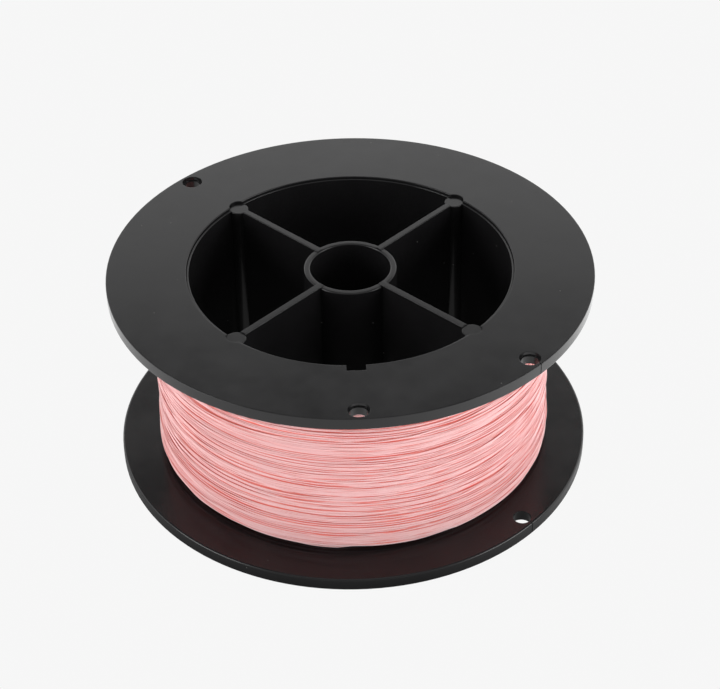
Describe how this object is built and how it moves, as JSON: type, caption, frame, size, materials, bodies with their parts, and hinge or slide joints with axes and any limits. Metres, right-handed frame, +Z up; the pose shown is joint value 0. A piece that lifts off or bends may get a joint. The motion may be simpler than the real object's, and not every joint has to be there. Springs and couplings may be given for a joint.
{
  "type": "fishing line spool",
  "caption": "Bulk spool of pink braided fishing line: two black flanges with rim holes on a webbed core with a spindle bore.",
  "frame": {"origin": "on the spindle axis, in the face that the spool stands on", "axes": "+Z up along the spindle axis; -Y towards the line start notch; +X to the right of it"},
  "size_m": [0.16, 0.16, 0.07],
  "materials": {
    "black_plastic": "satin moulded",
    "braided_line": "tightly braided, slightly glossy"
  },
  "bodies": {
    "root": {"upper_flange": "black_plastic", "lower_flange": "black_plastic", "barrel": "black_plastic", "bore_tube": "black_plastic", "web_front_right": "black_plastic", "web_back_right": "black_plastic", "web_back_left": "black_plastic", "web_front_left": "black_plastic", "post_front_right": "black_plastic", "post_back_right": "black_plastic", "post_back_left": "black_plastic", "post_front_left": "black_plastic", "wound_line": "braided_line"}
  },
  "joints": []
}
